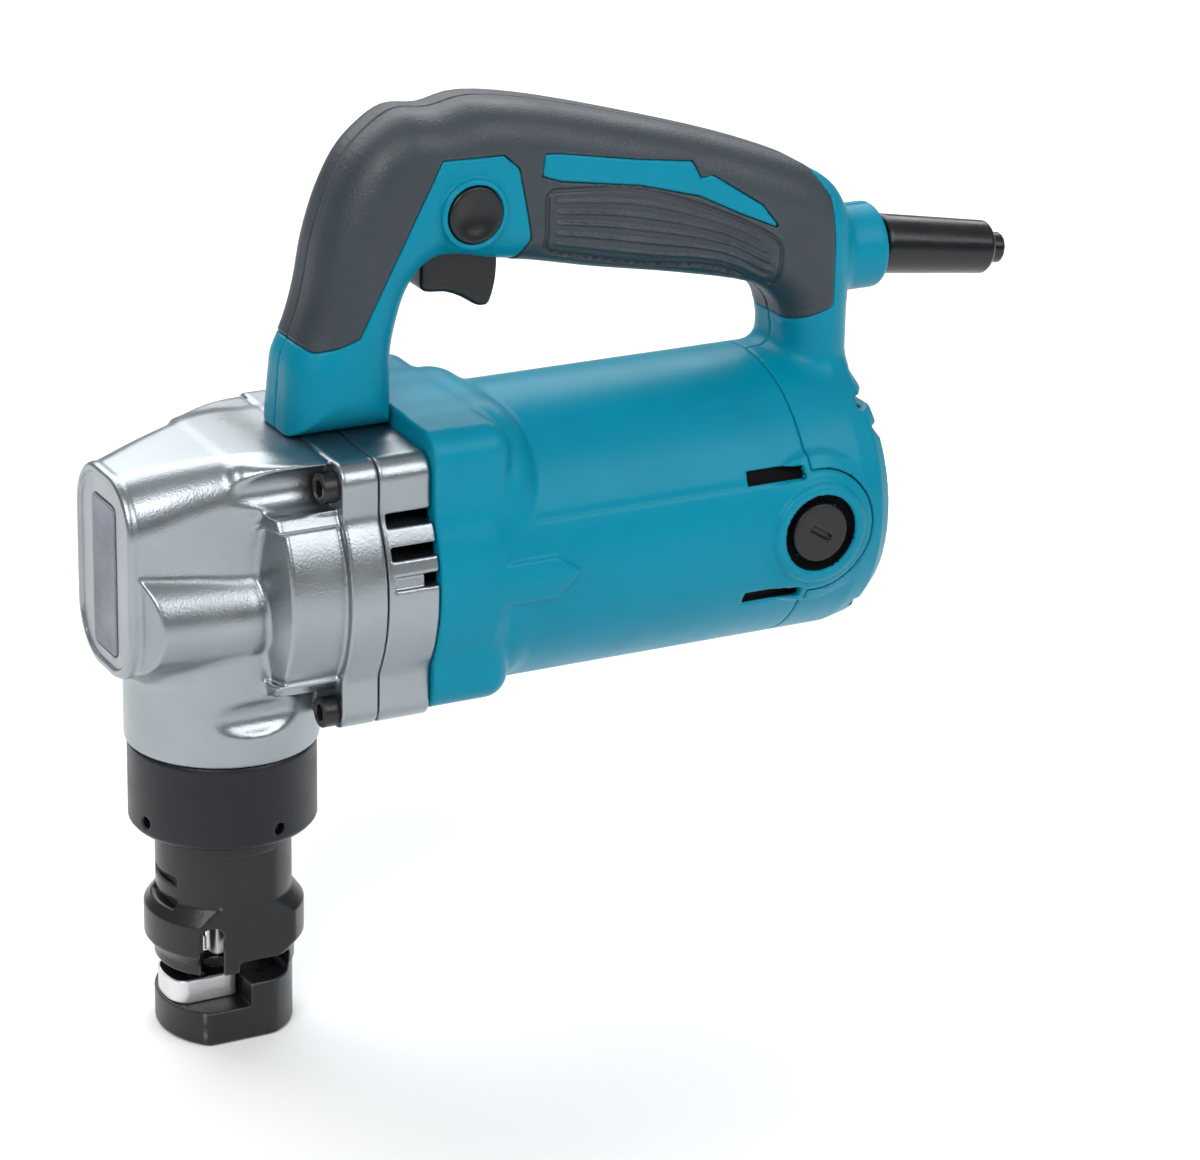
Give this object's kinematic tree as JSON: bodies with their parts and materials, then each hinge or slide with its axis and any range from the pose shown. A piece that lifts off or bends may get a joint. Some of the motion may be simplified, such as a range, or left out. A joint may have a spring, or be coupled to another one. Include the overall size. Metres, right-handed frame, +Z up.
{
  "type": "electric sheet metal nibbler",
  "caption": "Corded hand nibbler with an upright punch and die head, alloy gear case, barrel motor housing and a closed loop handle with trigger and lock button.",
  "frame": {"origin": "on the flat foot of the die holder, in the middle plane, 11.5 mm behind the punch axis", "axes": "+Z up along the punch, +X from the cutting side back along the motor axis to the cord, +Y to the tool's right"},
  "size_m": [0.2812, 0.088, 0.262],
  "materials": {
    "alloy": "satin die-cast",
    "plate": "matte dark label plate",
    "plastic": "teal, fine satin grain",
    "rubber": "dark grey, soft matte",
    "black_plastic": "satin black",
    "cord_rubber": "smooth black",
    "black_steel": "black oxide",
    "bright_steel": "ground bright",
    "gear_steel": "machined and hardened",
    "core_steel": "stacked laminations",
    "copper": "turned copper",
    "carbon": "pressed carbon",
    "brass": "satin brass",
    "felt": "pressed felt"
  },
  "bodies": {
    "tool": {"gear_housing": "alloy", "front_plate": "plate", "gear_cover": "alloy", "flange_screw_1": "black_steel", "flange_screw_2": "black_steel", "flange_screw_3": "black_steel", "flange_screw_4": "black_steel", "motor_housing": "plastic", "handle_left": "plastic", "handle_right": "plastic", "grip_left": "rubber", "grip_right": "rubber", "handle_screw_1": "black_steel", "handle_screw_2": "black_steel", "handle_screw_3": "black_steel", "handle_screw_4": "black_steel", "cord_guard": "cord_rubber", "cord": "cord_rubber", "cord_clamp": "black_plastic", "guide_bush": "brass", "ram_seal": "felt", "crank_bearing_front": "bright_steel", "crank_bearing_rear": "bright_steel", "layshaft_bearing_front": "bright_steel", "layshaft_bearing_rear": "bright_steel", "motor_bearing_front": "bright_steel", "motor_bearing_rear": "bright_steel", "fan_baffle": "black_plastic", "stator": "core_steel", "brush_holder_left": "brass", "brush_holder_right": "brass", "carbon_brush_left": "carbon", "carbon_brush_right": "carbon", "brush_spring_left": "bright_steel", "brush_spring_right": "bright_steel", "brush_cap_left": "black_plastic", "brush_cap_right": "black_plastic", "switch_body": "black_plastic", "trigger_spring": "bright_steel"},
    "armature": {"armature_shaft": "gear_steel", "rotor_core": "core_steel", "commutator": "copper", "fan": "black_plastic"},
    "layshaft": {"layshaft": "gear_steel", "layshaft_gear": "gear_steel"},
    "crank": {"crankshaft": "gear_steel", "crank_gear": "gear_steel"},
    "ram": {"ram": "gear_steel", "wrist_pin": "bright_steel"},
    "rod": {"connecting_rod": "gear_steel", "rod_bearing": "bright_steel", "crank_pin": "bright_steel"},
    "punch": {"punch": "bright_steel"},
    "die_head": {"die_holder": "black_steel", "die": "bright_steel", "die_screw_1": "black_steel", "die_screw_2": "black_steel"},
    "lock_nut": {"lock_nut": "black_steel"},
    "trigger": {"trigger": "black_plastic"},
    "lock_button": {"lock_button": "black_plastic"}
  },
  "joints": [
    {"name": "armature_spin", "type": "hinge", "parent": "tool", "child": "armature", "pos_m": [0.0855, 0, 0.1355], "axis": [1, 0, 0], "continuous": true},
    {"name": "layshaft_spin", "type": "hinge", "parent": "tool", "child": "layshaft", "pos_m": [0.0145, 0, 0.153], "axis": [1, 0, 0], "continuous": true},
    {"name": "crank_spin", "type": "hinge", "parent": "tool", "child": "crank", "pos_m": [0.0035, 0, 0.1305], "axis": [1, 0, 0], "continuous": true},
    {"name": "ram_slide", "type": "slide", "parent": "tool", "child": "ram", "axis": [0, 0, 1], "range_m": [-0.013, 0]},
    {"name": "rod_swing", "type": "hinge", "parent": "ram", "child": "rod", "pos_m": [-0.0115, 0, 0.103], "axis": [1, 0, 0], "range_deg": [-11, 11]},
    {"name": "punch_turn", "type": "hinge", "parent": "ram", "child": "punch", "pos_m": [-0.0115, 0, 0.06], "axis": [0, 0, 1], "range_deg": [-180, 180]},
    {"name": "die_turn", "type": "hinge", "parent": "tool", "child": "die_head", "pos_m": [-0.0115, 0, 0.04], "axis": [0, 0, 1], "range_deg": [-180, 180]},
    {"name": "lock_nut_turn", "type": "hinge", "parent": "tool", "child": "lock_nut", "pos_m": [-0.0115, 0, 0.075], "axis": [0, 0, 1], "range_deg": [-90, 0]},
    {"name": "trigger_pull", "type": "slide", "parent": "tool", "child": "trigger", "axis": [0, 0, 1], "range_m": [0, 0.006], "stiffness_N_per_m": 900, "springref_m": -0.002, "deforming": ["trigger_spring"]},
    {"name": "lock_button_press", "type": "slide", "parent": "tool", "child": "lock_button", "axis": [0, 1, 0], "range_m": [0, 0.0035], "stiffness_N_per_m": 600, "springref_m": -0.001}
  ],
  "couplings": [
    {"joint": "layshaft_spin", "follows": "armature_spin", "ratio": -0.25},
    {"joint": "crank_spin", "follows": "armature_spin", "ratio": 0.071429},
    {"joint": "punch_turn", "follows": "die_turn", "ratio": 1}
  ]
}
